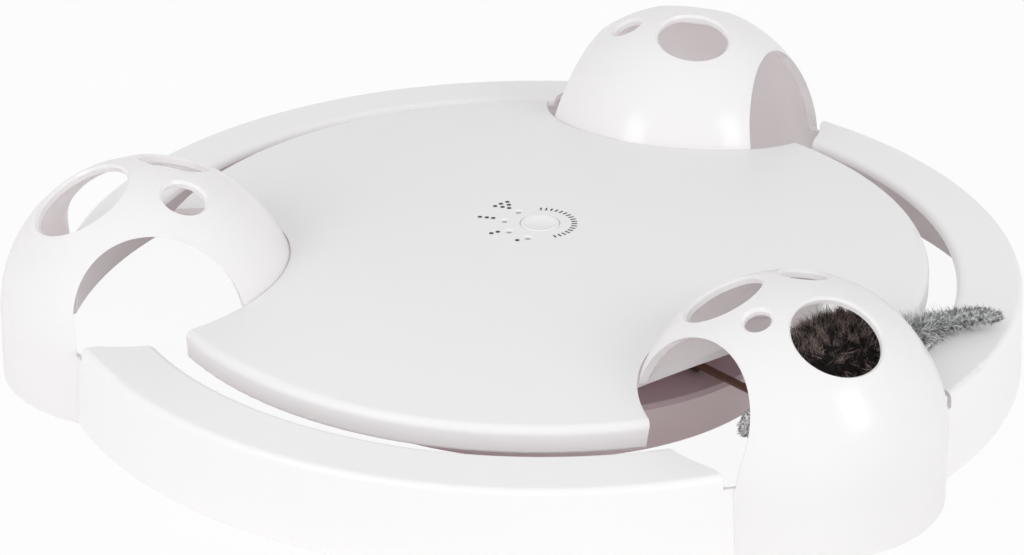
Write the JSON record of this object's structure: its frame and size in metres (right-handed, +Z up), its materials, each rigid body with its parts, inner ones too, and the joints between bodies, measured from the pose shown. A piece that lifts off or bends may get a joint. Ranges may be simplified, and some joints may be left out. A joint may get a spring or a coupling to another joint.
{
  "type": "rotating cat toy",
  "caption": "Round battery-driven cat toy: a soft mouse on a turning rod runs in a slot between a crowned platform and a low rim, through domed houses with holes.",
  "frame": {"origin": "on the floor at the turning axis of the rod", "axes": "+Z up along the turning axis; -Y faces the viewer of the picture, +X to the right"},
  "size_m": [0.3835, 0.3724, 0.08],
  "materials": {
    "white_plastic": "smooth white moulded plastic, slightly glossy",
    "board": "green circuit board",
    "switch": "dark moulded switch",
    "lens": "clear light guide",
    "steel": "plain steel",
    "rubber": "soft matt rubber",
    "bronze": "sintered bronze",
    "gear_plastic": "natural acetal",
    "collar_plastic": "dark moulded collar",
    "brown_rod": "brown coated wire",
    "cell": "printed sleeve",
    "wire": "sleeved wires",
    "fur": "short dark fur",
    "felt": "light grey fuzzy felt"
  },
  "bodies": {
    "base": {"rim_front": "white_plastic", "rim_right": "white_plastic", "rim_left": "white_plastic", "house_back": "white_plastic", "house_left": "white_plastic", "house_front": "white_plastic", "platform": "white_plastic", "panel_tray": "white_plastic", "drum_pan": "white_plastic", "drum_lid": "white_plastic", "centre_post": "white_plastic", "circuit_board": "board", "button_switch": "switch", "indicator_lenses": "lens", "post_screws": "steel", "case_screws": "steel", "gear_axle": "steel", "motor": "steel", "battery_contacts": "steel", "rubber_feet": "rubber", "thrust_washer": "bronze", "battery_1": "cell", "battery_2": "cell", "battery_3": "cell", "wire_loom": "wire"},
    "rotor": {"drive_gear": "gear_plastic", "rotor_arm": "white_plastic", "rod_collar": "collar_plastic", "drive_rod": "brown_rod", "mouse_body": "fur", "mouse_tail": "felt", "mouse_strip": "felt"},
    "idler": {"double_gear": "gear_plastic"},
    "motor_shaft": {"motor_pinion": "bronze"},
    "button": {"push_button": "white_plastic"},
    "door": {"battery_door": "white_plastic"}
  },
  "joints": [
    {"name": "rotor_spin", "type": "hinge", "parent": "base", "child": "rotor", "pos_m": [0, 0, 0.02], "axis": [0, 0, 1], "continuous": true},
    {"name": "idler_spin", "type": "hinge", "parent": "base", "child": "idler", "pos_m": [0.0144, 0.02494, 0.012], "axis": [0, 0, 1], "continuous": true},
    {"name": "motor_spin", "type": "hinge", "parent": "base", "child": "motor_shaft", "pos_m": [0.02607, 0.03661, 0.014], "axis": [0, 0, 1], "continuous": true},
    {"name": "button_press", "type": "slide", "parent": "base", "child": "button", "axis": [0, 0, -1], "range_m": [0, 0.001], "stiffness_N_per_m": 800},
    {"name": "door_open", "type": "hinge", "parent": "base", "child": "door", "pos_m": [0, -0.0328, 0.0019], "axis": [1, 0, 0], "range_deg": [0, 75]}
  ],
  "couplings": [
    {"joint": "idler_spin", "follows": "rotor_spin", "ratio": -5},
    {"joint": "motor_spin", "follows": "rotor_spin", "ratio": 20}
  ]
}
